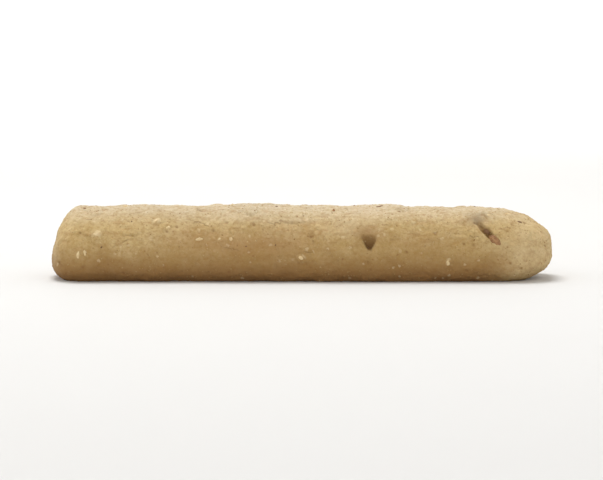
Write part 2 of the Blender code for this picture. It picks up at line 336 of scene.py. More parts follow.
def notchDepth():
    placing = seat(*frontSpot(chips["notchPlace"]), 0.0, 0.0)
    local = (doughPoints - np.array(placing.translation)) @ np.array(placing.to_3x3())
    near = np.where((np.abs(local) < chips["notchNear"] * chips["notchHeight"]).all(axis=1))[0]
    stray = chips["notchWander"] * noiseAt(doughPoints[near], chips["edgeGrain"], chips["edgeSeed"])
    rise = local[near, 1] / chips["notchHeight"] + 0.5 + chips["notchStray"] * stray
    share = chips["notchFootWidth"] + (1.0 - chips["notchFootWidth"]) * np.clip(rise, 0.0, 1.0)
    lean = local[near, 0] - chips["notchLean"] * (1.0 - rise)
    inside = 1.0 - np.abs(lean) / (0.5 * chips["notchWidth"] * share) + stray
    slope = smoothStep(*chips["notchSides"], inside)
    foot = smoothStep(*chips["notchFoot"], rise)
    head = 1.0 - smoothStep(*reversed(chips["notchHead"]), rise)
    sunk = np.zeros(len(doughPoints))
    sunk[near] = chips["notchDepth"] * slope * foot * head
    return sunk


def crackDepth(point, facing, length, turn, draw):
    width = draw.uniform(*chips["crackWidth"])
    phase = draw.uniform(0.0, 2.0 * math.pi)
    seedX, seedY, seedZ = chips["crackBendSeed"]

    def bend(x, y, halfLength, deep):
        line = np.stack((x, np.full(len(x), phase), np.zeros(len(x))), axis=-1)
        stray = noiseAt(line, chips["crackBendLength"], (seedX, seedY * phase, seedZ))
        return x, y - chips["crackBend"] * stray, halfLength, deep

    placing = seat(point, facing, turn, 0.0)
    return chipDepth(placing, length, width, chips["crackDepth"], chips["crackWander"], bend)


def chipDepths():
    depth = notchDepth()
    grooveSeat = seat(*frontSpot(chips["groovePlace"]), chips["grooveTurn"], 0.0)
    sizes = chips["grooveLength"], chips["grooveWidth"], chips["grooveDepth"]

    def taper(x, y, halfLength, deep):
        down = smoothStep(*chips["grooveTaper"], x / halfLength)
        return x, y, halfLength, deep * (chips["grooveHead"] + (1.0 - chips["grooveHead"]) * down)

    groove = chipDepth(grooveSeat, *sizes, chips["grooveWander"], taper)
    depth = np.maximum(depth, groove)
    for spot in frontSpots(chips["frontCracks"], chips["frontCrackSeed"]):
        depth = np.maximum(depth, crackDepth(*spot))
    others = spotsRound(chips["crackCount"], chips["crackEndGap"], chips["crackFirstTurn"],
                        chips["crackSeed"])
    for point, facing, draw in others:
        length = draw.uniform(*chips["crackLength"])
        turn = draw.uniform(-chips["crackTurn"], chips["crackTurn"])
        depth = np.maximum(depth, crackDepth(point, facing, length, turn, draw))
    return depth


# Chopped almonds: angular bits with a cream kernel and, on some sides, brown skin. The last value of a
# front bit is how far it is bare: 1 stands out of the dough and 0 has the dough over it.
almonds = {
    "frontBits": (  # place, length, turn and bareness
        ((0.0083, 0.0076), 0.0026, math.radians(85), -0.6),
        ((0.0129, 0.0127), 0.0027, math.radians(8), 0.20),
        ((0.0289, 0.0161), 0.0024, math.radians(50), 0.40),
        ((0.0470, 0.0116), 0.0021, math.radians(20), -0.6),
        ((0.0674, 0.0065), 0.0022, math.radians(-30), 0.10),
        ((0.1066, 0.0053), 0.0022, math.radians(75), 0.10),
        ((0.1105, 0.0164), 0.0020, math.radians(10), -0.3),
        ((0.1170, 0.0178), 0.0034, math.radians(-25), 0.15),
    ),
    "kernels": (  # small bare ones in the dough: place, length, width, turn
        ((0.0081, 0.0074), 0.0022, 0.0009, math.radians(84)),
        ((0.0099, 0.0081), 0.0018, 0.0007, math.radians(97)),
        ((0.0129, 0.0129), 0.0020, 0.0011, math.radians(12)),
        ((0.0455, 0.0116), 0.0011, 0.0008, math.radians(35)),
        ((0.0487, 0.0116), 0.0010, 0.0008, math.radians(-20)),
        ((0.0674, 0.0067), 0.0014, 0.0010, math.radians(-30)),
        ((0.1065, 0.0052), 0.0012, 0.0009, math.radians(80)),
        ((0.0319, 0.0145), 0.0015, 0.0008, math.radians(15)),
        ((0.0402, 0.0115), 0.0021, 0.0008, math.radians(4)),
    ),
    "kernelSeed": 800,
    "scattered": 34,
    "scatterSize": (0.0008, 0.0019),
    "scatterWidthShare": (0.5, 0.9),
    "scatterFirstTurn": 0.6,
    "scatterSeed": 850,
    "scatterSkinEvery": 4,
    "kernelFlatness": 0.8,
    "flush": -0.12,  # how far a small kernel's middle lies in, as a share of its width
    "swelling": 1.12,  # the coarse form is cut inside its ellipsoid
    "frontSeed": 100,
    "seed": 320,
    "bareSeed": 2880,
    "skinEvery": 3,  # every third bit keeps part of its skin
    "count": 38,
    "length": (0.0024, 0.0052),
    "widthShare": (0.50, 0.85),
    "thicknessShare": (0.35, 0.60),
    "proudShare": 0.36,
    "endGap": 0.008,
    "rounds": 1,
    "roughness": 0.12,
    "bare": (-0.35, 0.90),  # below 0 the bit is out of sight, a swelling of the dough this much lower
    "frontBare": (-0.85, 0.10),  # the photographed side shows few bits
    "frontSide": 0.15,
    "ridgeBare": -0.50,
    "ridgeSide": 0.80,  # facing up more than this
    "sliverPlace": (0.1190, 0.0112),
    "sliverSize": (0.0037, 0.0020, 0.0015),
    "sliverTurn": math.radians(-48),
    "sliverRaised": -0.0002,
    "sliverBare": 0.50,
    "sliverRounds": 2,
    "sliverRoughness": 0.10,
    "sliverSeed": 2,
    "cuts": 5,
    "rounding": 0.35,
    "wrinkle": 0.00014,
    "wrinkleLength": 0.0008,
    "noiseShift": 20.0,  # sets every bit's wrinkles apart
    "skinFrom": 0.35,  # where the skin of a half-skinned bit begins, from its middle to its skinned side
    "skinFade": 0.2,
    "skinWander": 0.6,
    "coatWidth": 0.00035,  # the dough round and over each bit
    "coat": 0.00010,
    "coatThinning": 0.00060,
    "coatNoise": 0.00044,
    "coatNoiseLength": 0.0012,
    "coatSeed": (3.0, 3.0, 7.0),
    "coatFillet": 0.00022,
    "thinFrom": (-0.00020, 0.00004),  # cover at which the kernel glows through, and at which it stops
    "thinRim": (0.25, 0.6),
}


# Every bit's seat, size, icosphere rounds, roughness, draw, bareness and skin, which is 1 for all brown,
# 0.5 for brown in part and 0 for none.
def almondBits():
    def chopped(point, facing, length, turn, draw, bare, skin):
        width = length * draw.uniform(*almonds["widthShare"])
        thickness = length * draw.uniform(*almonds["thicknessShare"])
        placing = seat(point, facing, turn, thickness * (almonds["proudShare"] - 0.5))
        size = (length, width, thickness)
        return placing, size, almonds["rounds"], almonds["roughness"], draw, bare, skin

    places = [bit[:3] for bit in almonds["frontBits"]]
    for number, (point, facing, length, turn, draw) in enumerate(frontSpots(places, almonds["frontSeed"])):
        yield chopped(point, facing, length, turn, draw, almonds["frontBits"][number][3], 0.0)
    for number, spot in enumerate(spotsRound(almonds["count"], almonds["endGap"], 0.0, almonds["seed"])):
        point, facing, draw = spot
        length = draw.uniform(*almonds["length"])
        turn = draw.uniform(0.0, math.pi)
        share = random.Random(almonds["bareSeed"] + number).random()
        low, high = almonds["frontBare"] if facing.y < almonds["frontSide"] else almonds["bare"]
        bare = low + (high - low) * share
        if facing.z > almonds["ridgeSide"]:
            bare = min(bare, almonds["ridgeBare"])
        skin = 0.5 if number % almonds["skinEvery"] == 0 else 0.0
        yield chopped(point, facing, length, turn, draw, bare, skin)
    sliverSeat = seat(*frontSpot(almonds["sliverPlace"]), almonds["sliverTurn"], almonds["sliverRaised"])
    draw = random.Random(almonds["sliverSeed"])
    form = almonds["sliverRounds"], almonds["sliverRoughness"]
    yield sliverSeat, almonds["sliverSize"], *form, draw, almonds["sliverBare"], 1.0


def smoothMax(first, second, fillet):
    near = np.clip(1.0 - np.abs(first - second) / fillet, 0.0, 1.0)
    return np.maximum(first, second) + 0.25 * fillet * near * near


# Raises the crust's height over each bit, and says how thin the dough is there.
def lapOverBits(height, bits):
    thin = np.zeros(len(height))
    coat = almonds["coatWidth"]
    for placing, size, _, _, _, bare, skin in bits:
        local = (doughPoints - np.array(placing.translation)) @ np.array(placing.to_3x3())
        near = np.where((np.abs(local) < size[0] * 0.5 + 2.0 * coat).all(axis=1))[0]
        x, y, z = local[near].T
        reach = (x / (size[0] * 0.5 + coat)) ** 2 + (y / (size[1] * 0.5 + coat)) ** 2
        dome = np.sqrt(np.clip(1.0 - reach, 0.0, 1.0))
        cover = almonds["coat"] - max(bare, 0.0) * almonds["coatThinning"] * dome
        stray = noiseAt(doughPoints[near], almonds["coatNoiseLength"], almonds["coatSeed"])
        cover += almonds["coatNoise"] * stray
        lift = np.where(reach < 1.0, (0.5 * size[2] + cover) * dome - z, -1.0) * (1.0 + min(bare, 0.0))
        if skin > 0.0 or bare <= 0.0:
            cover = np.full(len(cover), 1.0)
        lapped = smoothMax(height[near], lift, almonds["coatFillet"])
        height[near] = np.where(reach < 1.0, lapped, height[near])
        glow = (1.0 - smoothStep(*almonds["thinFrom"], cover)) * smoothStep(*almonds["thinRim"], dome)
        thin[near] = np.maximum(thin[near], glow)
    return thin


# The crumb of the crust: rounded lumps and grains, pores and creases, as real relief.
grain = {
    "lumps": ((0.0042, 0.00016), (0.0019, 0.00014), (0.0010, 0.00012)),  # wavelength and height
    "lumpSeed": (7.0, 1.0, 3.0),
    "grains": ((0.0016, 0.00010), (0.0009, 0.00008)),  # spacing and height
    "grainSeed": (5.0, 2.0, 8.0),
    "grainEdge": 0.45,  # a grain is rounded this far in, in spacings
    "grainSunk": 0.6,  # share of a grain's height that lies below the dough's surface
    "pores": ((0.0026, 0.28, 0.22, 0.00034), (0.0014, 0.20, 0.26, 0.00018)),  # spacing, share, width, depth
    "poreSeed": (1.0, 6.0, 2.0),
    "poreFloor": 0.3,
    "markScale": 7.31,
    "undersidePores": 0.000352,
    "undersideCreases": 0.000066,
    "chippedCalm": 0.6,  # how much of the grain stays inside a chip
}


# Distances to the nearest two grain centres from every point, and a number from 0 to 1 for the nearest
# grain.
def grainCells(points, spacing, seed):
    places = points / spacing + np.array(seed)
    first = np.empty(len(points))
    second = np.empty(len(points))
    mark = np.empty(len(points))
    for number, place in enumerate(places):
        distances, centres = noise.voronoi(Vector(place))
        first[number], second[number] = distances[0], distances[1]
        mark[number] = noise.cell(centres[0] * grain["markScale"]) % 1.0
    return first, second, mark


def grainRelief():
    height = np.zeros(len(doughPoints))
    for number, (wavelength, depth) in enumerate(grain["lumps"]):
        height += depth * noiseAt(doughPoints, wavelength, np.array(grain["lumpSeed"]) + (number, 0, 0))
    creases = np.zeros(len(doughPoints))
    for number, (spacing, depth) in enumerate(grain["grains"]):
        first, second, _ = grainCells(doughPoints, spacing, np.array(grain["grainSeed"]) + (0, number, 0))
        dome = smoothStep(0.0, grain["grainEdge"], second - first)
        height += depth * (dome - grain["grainSunk"])
        creases = np.maximum(creases, 1.0 - dome)
    pores = np.zeros(len(doughPoints))
    for number, (spacing, share, width, depth) in enumerate(grain["pores"]):
        first, _, mark = grainCells(doughPoints, spacing, np.array(grain["poreSeed"]) + (0, number, 0))
        pits = (mark < share) * (1.0 - smoothStep(grain["poreFloor"] * width, width, first))
        height -= depth * pits
        pores = np.maximum(pores, pits * depth / grain["pores"][0][3])
    return height, creases, pores


# Soft patches of tone on the photographed side: place, reach and strength. Blush is browner and holds
# painted shade on the rim above the notch; bloom is paler and greyer and holds painted light at the ends;
# the groove's painted shade is darker and greyer.
tones = {
    "blushAndShade": (
        ((0.0450, 0.0102), (0.0130, 0.0028), 0.75),
        ((0.0620, 0.0098), (0.0120, 0.0030), 0.75),
        ((0.0148, 0.0050), (0.0030, 0.0018), 0.50),
        ((0.0500, 0.0072), (0.0030, 0.0014), 0.50),
        ((0.0585, 0.0068), (0.0022, 0.0012), 0.45),
        ((0.1105, 0.0160), (0.0024, 0.0013), 0.35),
        # painted shade on the rim above the notch
        ((0.0853, 0.0128), (0.0042, 0.0022), 0.75),
        ((0.0640, 0.0142), (0.0140, 0.0016), 0.30),
        ((0.0370, 0.0130), (0.0060, 0.0022), 0.30),
        ((0.0990, 0.0104), (0.0090, 0.0030), 0.45),
    ),
    "bloomAndLight": (
        ((0.0844, 0.0187), (0.0036, 0.0011), 0.75),
        ((0.0655, 0.0163), (0.0060, 0.0006), 0.55),
        ((0.0490, 0.0172), (0.0050, 0.0010), 0.45),
        # painted light on the right end's lower part
        ((0.1270, 0.0090), (0.0075, 0.0060), 0.30),
        ((0.0800, 0.0145), (0.0060, 0.0024), 0.35),
        # painted light on the left end
        ((0.0012, 0.0085), (0.0016, 0.0060), 0.45),
    ),
    "paintedGrooveShade": (
        # painted shade in a shallow dent at the groove's upper end
        ((0.1142, 0.0168), (0.0022, 0.0013), 0.90),
    ),
    "paleFrom": (0.114, 0.127),  # the foot's browning and painted shade fade out over these places along the biscuit
    "front": (-0.004, 0.002),  # the patches fade out over these places across it
}


def toneOf(name):
    along = doughPoints[:, 0] + dough["length"] / 2.0
    front = 1.0 - smoothStep(*tones["front"], doughPoints[:, 1])
    total = np.zeros(len(doughPoints))
    for (s, z), (reachS, reachZ), strength in tones[name]:
        total += strength * np.exp(-((along - s) / reachS) ** 2 - ((doughPoints[:, 2] - z) / reachZ) ** 2)
    return np.clip(total * front, 0.0, 1.0)


# Painted shade inside each chip: darkest at the notch's foot and in the groove, faint in the cracks.
def chipShadeOf(depth):
    tone = smoothStep(*chips["chipShadeDepth"], depth)
    along = doughPoints[:, 0] + dough["length"] / 2.0
    inNotch = np.abs(along - chips["notchPlace"][0]) < chips["notchWidth"]
    rise = (doughPoints[:, 2] - chips["notchPlace"][1]) / chips["notchHeight"] + 0.5
    faded = tone * (1.0 - chips["notchFade"] * smoothStep(*chips["notchFadeOver"], rise))
    return np.where(inNotch & (rise < chips["notchNear"]), faded, tone)


def crust(bits):
    depth = chipDepths()
    height, creases, pores = grainRelief()
    height *= np.where(depth > 0.0, grain["chippedCalm"], 1.0)
    thin = lapOverBits(height, bits)
    points = doughPoints + doughNormals * (height - depth)[:, None]
    flat = doughPoints[:, 2] <= dough["flatBelow"]
    points[flat] = doughPoints[flat]
    points[flat, 2] += (grain["undersidePores"] * pores + grain["undersideCreases"] * creases)[flat]
    points[:, 2] = np.maximum(points[:, 2], 0.0)
    meshNormals(crustMesh, points)
    # Among these layers, the shade in chips, pores, creases and at the groove is painted shade, part of the
    # blush is painted shade, part of the bloom painted light, and the browning towards the bottom is partly
    # painted shade.
    layers = {"paintedChipShade": chipShadeOf(depth), "paintedPoreShade": pores, "paintedCreaseShade": creases, "thin": thin,
              "blushAndShade": toneOf("blushAndShade"), "bloomAndLight": toneOf("bloomAndLight"), "paintedGrooveShade": toneOf("paintedGrooveShade"),
              "brownedAndShaded": 1.0 - smoothStep(*tones["paleFrom"], doughPoints[:, 0] + dough["length"] / 2.0)}
    for name, values in layers.items():
        layer = crustMesh.attributes.new(name, "FLOAT", "POINT")
        layer.data.foreach_set("value", values.astype(np.float32))
    crustMesh.shade_smooth()
    piece = bpy.data.objects.new("crust", crustMesh)
    bpy.context.scene.collection.objects.link(piece)
    return piece


class PieceLists:  # points, faces and one value a point, gathered for a joined mesh
    def __init__(self):
        self.points = []
        self.faces = []
        self.values = []

    def add(self, shape, values):
        first = len(self.points)
        shape.verts.index_update()
        self.points.extend(tuple(vertex.co) for vertex in shape.verts)
        self.faces.extend([first + vertex.index for vertex in face.verts] for face in shape.faces)
        self.values.extend(values)

    def piece(self, name, valueName):
        mesh = bpy.data.meshes.new(name)
        mesh.from_pydata(self.points, [], self.faces)
        layer = mesh.attributes.new(valueName, "FLOAT", "POINT")
        layer.data.foreach_set("value", self.values)
        mesh.shade_smooth()
        made = bpy.data.objects.new(name, mesh)
        bpy.context.scene.collection.objects.link(made)
        return made


# One bit: the frame's coarse angular form, cut finer, its edges eased and its surface wrinkled.
def addBit(lists, placing, size, rounds, roughness, draw, bare, skin):
    shape = bmesh.new()
    bmesh.ops.create_icosphere(shape, subdivisions=rounds, radius=0.5)
    for vertex in shape.verts:
        vertex.co *= almonds["swelling"] * (1.0 + draw.uniform(-roughness, roughness))
        vertex.co = Vector((vertex.co.x * size[0], vertex.co.y * size[1], vertex.co.z * size[2]))
    bmesh.ops.subdivide_edges(shape, edges=shape.edges[:], cuts=almonds["cuts"], use_grid_fill=True)
    bmesh.ops.smooth_vert(shape, verts=shape.verts[:], factor=almonds["rounding"],
                          use_axis_x=True, use_axis_y=True, use_axis_z=True)
    shape.normal_update()
    side = Vector((draw.uniform(-1.0, 1.0), draw.uniform(-1.0, 1.0), draw.uniform(0.2, 1.0))).normalized()
    values = []
    moves = []
    for vertex in shape.verts:
        place = vertex.co / almonds["wrinkleLength"] + side * almonds["noiseShift"]
        moves.append(vertex.normal * almonds["wrinkle"] * noise.noise(place))
        spread = Vector((vertex.co.x / size[0], vertex.co.y / size[1], vertex.co.z / size[2])) * 2.0
        partly = (spread.dot(side) - almonds["skinFrom"]) / almonds["skinFade"]
        partly = min(max(partly + noise.noise(place * almonds["skinWander"]), 0.0), 1.0)
        values.append(partly if skin == 0.5 else skin)
    for vertex, move in zip(shape.verts, moves):
        vertex.co += move
    shape.transform(placing)
    lists.add(shape, values)
    shape.free()


def almondPiece(bits, tree):
    lists = PieceLists()
    for bit in bits:
        if bit[5] > 0.0:
            addBit(lists, *bit)

    def smallKernel(point, facing, length, width, turn, draw, skin):
        placing = seat(point, facing, turn, width * almonds["flush"])
        size = (length, width, width * almonds["kernelFlatness"])
        addBit(lists, placing, size, almonds["rounds"], almonds["roughness"], draw, 1.0, skin)

    for number, (place, length, width, turn) in enumerate(almonds["kernels"]):
        draw = random.Random(almonds["kernelSeed"] + number)
        smallKernel(*frontSpot(place, tree), length, width, turn, draw, 0.0)
    scattered = spotsRound(almonds["scattered"], almonds["endGap"], almonds["scatterFirstTurn"],
                           almonds["scatterSeed"])
    for number, (spot, _, draw) in enumerate(scattered):
        point, facing, _, _ = tree.find_nearest(spot)
        length = draw.uniform(*almonds["scatterSize"])
        width = length * draw.uniform(*almonds["scatterWidthShare"])
        skin = 0.5 if number % almonds["scatterSkinEvery"] == 0 else 0.0
        smallKernel(point, facing, length, width, draw.uniform(0.0, math.pi), draw, skin)
    return lists.piece("choppedAlmonds", "skin")


# Papery flakes of almond skin lying in the crust.
flakes = {
    "frontFlakes": (  # place, length, turn
        ((0.1169, 0.0137), 0.0024, math.radians(-48)),
        ((0.0853, 0.0091), 0.0010, math.radians(70)),
        ((0.0528, 0.0097), 0.0007, 0.3),
        ((0.0606, 0.0100), 0.0006, 1.1),
        ((0.0222, 0.0160), 0.0006, 2.0),
        ((0.0143, 0.0094), 0.0007, 0.9),
    ),
    "topPlace": (0.0883, -0.002),  # a dark one on the top edge
    "topLength": 0.0021,
    "topTurn": 0.2,
    "topSeed": 599,
    "frontSeed": 500,
    "seed": 600,
    "firstTurn": 2.0,
    "count": 30,
    "length": (0.0006, 0.0015),
    "widthShare": (0.45, 0.80),
    "thickness": 0.00022,
    "raised": 0.00002,
    "endGap": 0.006,
    "points": 11,
    "angleDraw": 0.3,
    "edgeReach": (0.36, 0.56),
    "curl": (-0.15, 0.10),
    "layers": ((1.0, -0.5), (1.0, 0.1), (0.72, 0.5), (0.35, 0.62)),  # width, and height in thicknesses
    "crown": 0.66,
}


def addFlake(lists, point, facing, length, turn, draw):
    shape = bmesh.new()
    width = length * draw.uniform(*flakes["widthShare"])
    count = flakes["points"]
    stray = flakes["angleDraw"]
    angles = [2.0 * math.pi * (number + draw.uniform(-stray, stray)) / count for number in range(count)]
    reaches = [draw.uniform(*flakes["edgeReach"]) for _ in range(count)]
    curl = draw.uniform(*flakes["curl"])
    layers = []
    for share, height in flakes["layers"]:
        layer = []
        for angle, reach in zip(angles, reaches):
            x = length * reach * share * math.cos(angle)
            y = width * reach * share * math.sin(angle)
            z = flakes["thickness"] * height + curl * x * x / length
            layer.append(shape.verts.new((x, y, z)))
        layers.append(layer)
    for low, high in zip(layers, layers[1:]):
        for number in range(count):
            after = (number + 1) % count
            shape.faces.new((low[number], low[after], high[after], high[number]))
    middle = shape.verts.new((0.0, 0.0, flakes["thickness"] * flakes["crown"]))
    for number in range(count):
        shape.faces.new((layers[-1][number], layers[-1][(number + 1) % count], middle))
    shape.transform(seat(point, facing, turn, flakes["raised"]))
    lists.add(shape, [draw.uniform(0.0, 1.0)] * len(shape.verts))
    shape.free()


def flakePiece(tree):
    lists = PieceLists()
    for number, (place, length, turn) in enumerate(flakes["frontFlakes"]):
        draw = random.Random(flakes["frontSeed"] + number)
        addFlake(lists, *frontSpot(place, tree), length, turn, draw)
    along, across = flakes["topPlace"]
    above = Vector((along - dough["length"] / 2.0, across, dough["height"] * 2.0))
    point, facing, _, _ = tree.ray_cast(above, Vector((0.0, 0.0, -1.0)))
    addFlake(lists, point, facing, flakes["topLength"], flakes["topTurn"], random.Random(flakes["topSeed"]))
    scattered = spotsRound(flakes["count"], flakes["endGap"], flakes["firstTurn"], flakes["seed"])
    for spot, _, draw in scattered:
        point, facing, _, _ = tree.find_nearest(spot)
        addFlake(lists, point, facing, draw.uniform(*flakes["length"]), draw.uniform(0.0, math.pi), draw)
    return lists.piece("almondSkinFlakes", "tone")


# Loose crumb stuck to the crust: tiny grains, sunk in a little.
crumbs = {
    "count": 2800,
    "seed": 700000,
    "size": (0.00022, 0.00054),
    "sizePower": 2.2,  # most are small
    "flatness": (0.6, 1.0),
    "lengthening": (1.0, 1.5),
    "roughness": 0.22,
    "sunk": 0.15,  # share of its size that a crumb's middle lies under the surface
    "lowest": 0.0006,
}


def crumbPiece(tree, points, faces):
    corners = np.array(points)[np.array(faces)]
    diagonals = corners[:, 2] - corners[:, 0], corners[:, 3] - corners[:, 1]
    areas = 0.5 * np.linalg.norm(np.cross(*diagonals), axis=1)
    areas[corners[:, :, 2].min(axis=1) < crumbs["lowest"]] = 0.0
    ladder = np.cumsum(areas) / areas.sum()
    lists = PieceLists()
    for number in range(crumbs["count"]):
        draw = random.Random(crumbs["seed"] + number)
        corner = corners[int(np.searchsorted(ladder, draw.random()))]
        u, v = draw.random(), draw.random()
        spot = (corner[0] * (1 - u) + corner[1] * u) * (1 - v) + (corner[3] * (1 - u) + corner[2] * u) * v
        point, facing, _, _ = tree.find_nearest(Vector(spot))
        small, large = crumbs["size"]
        size = small + (large - small) * draw.random() ** crumbs["sizePower"]
        shape = bmesh.new()
        bmesh.ops.create_icosphere(shape, subdivisions=1, radius=0.5)
        flat = draw.uniform(*crumbs["flatness"])
        long = draw.uniform(*crumbs["lengthening"])
        for vertex in shape.verts:
            vertex.co *= size * (1.0 + draw.uniform(-crumbs["roughness"], crumbs["roughness"]))
            vertex.co = Vector((vertex.co.x * long, vertex.co.y, vertex.co.z * flat))
        shape.transform(seat(point, facing, draw.uniform(0.0, math.pi), -size * crumbs["sunk"]))
        lists.add(shape, [draw.random()] * len(shape.verts))
        shape.free()
    return lists.piece("looseCrumb", "tone")


print("crust: chipping it, lapping it over the almonds and graining it")
bits = list(almondBits())
crustPiece = crust(bits)
crustPoints = [tuple(vertex.co) for vertex in crustMesh.vertices]
crustTree = BVHTree.FromPolygons(crustPoints, doughFaces)

print("almonds: chopping and placing them")
almondPieces = almondPiece(bits, crustTree)
skinFlakes = flakePiece(crustTree)

print("crumb: scattering it")
looseCrumb = crumbPiece(crustTree, crustPoints, [face for face in doughFaces if len(face) == 4])


# Shader maths. A socket carries its material's maker, and Python's operators on it add Math nodes.
class Sock:
    def __init__(self, maker, output):
        self.maker = maker
        self.output = output

    def maths(self, operation, first, second):
        return self.maker.node("Math", {"operation": operation}, {0: first, 1: second})

    def __add__(self, other):
        return self.maths("ADD", self, other)

    def __radd__(self, other):
        return self.maths("ADD", other, self)

    def __sub__(self, other):
        return self.maths("SUBTRACT", self, other)

    def __rsub__(self, other):
        return self.maths("SUBTRACT", other, self)

    def __mul__(self, other):
        return self.maths("MULTIPLY", self, other)

    def __rmul__(self, other):
        return self.maths("MULTIPLY", other, self)


class Maker:  # makes one material's nodes
    def __init__(self, name):
        self.material = bpy.data.materials.new(name)
        self.material.use_nodes = True
        self.tree = self.material.node_tree
        self.shader = self.tree.nodes["Principled BSDF"]

    def node(self, kind, settings=None, sockets=None, out=0):
        made = self.tree.nodes.new("ShaderNode" + kind)
        for name, value in (settings or {}).items():
            setattr(made, name, value)
        for key, value in (sockets or {}).items():
            self.feed(made.inputs[key], value)
        return Sock(self, made.outputs[out])

    def feed(self, socket, value):
        if isinstance(value, Sock):
            self.tree.links.new(value.output, socket)
        else:
            socket.default_value = value

    def finish(self, **values):
        for name, value in values.items():
            self.feed(self.shader.inputs[name.replace("_", " ")], value)
        return self.material

    def places(self):
        return self.node("TexCoord", out="Object")

    def height(self, places):
        return self.node("SeparateXYZ", {}, {0: places}, "Z")

    def stretch(self, places, factors):
        return self.node("VectorMath", {"operation": "MULTIPLY"}, {0: places, 1: factors})

    def bend(self, places, scale, reach):  # each place strays by noise
        stray = self.node("TexNoise", {}, {"Vector": places, "Scale": scale, "Detail": 3.0}, "Color")
        inputs = {0: stray, 1: (reach, reach, reach), 2: places}
        return self.node("VectorMath", {"operation": "MULTIPLY_ADD"}, inputs)

    def noise(self, places, wavelength, detail, roughness=0.5):
        inputs = {"Vector": places, "Scale": 1.0 / wavelength, "Detail": detail, "Roughness": roughness}
        return self.node("TexNoise", {}, inputs)

    def step(self, value, low, high):
        settings = {"interpolation_type": "SMOOTHSTEP"}
        return self.node("MapRange", settings, {0: value, 1: low, 2: high, 3: 0.0, 4: 1.0})

    def mix(self, share, first, second):  # sockets 6 and 7 take the colours
        return self.node("Mix", {"data_type": "RGBA"}, {0: share, 6: first, 7: second}, 2)

    def attribute(self, name):
        return self.node("Attribute", {"attribute_name": name}, {}, "Fac")

    def bump(self, relief, strength):
        return self.node("Bump", {}, {"Strength": strength, "Distance": 1.0, "Height": relief})


def colour(red, green, blue):  # a screen colour, 0 to 255, as the shader's linear one
    linear = [((value / 255.0 + 0.055) / 1.055) ** 2.4 if value > 10 else value / 255.0 / 12.92
              for value in (red, green, blue)]
    return (*linear, 1.0)


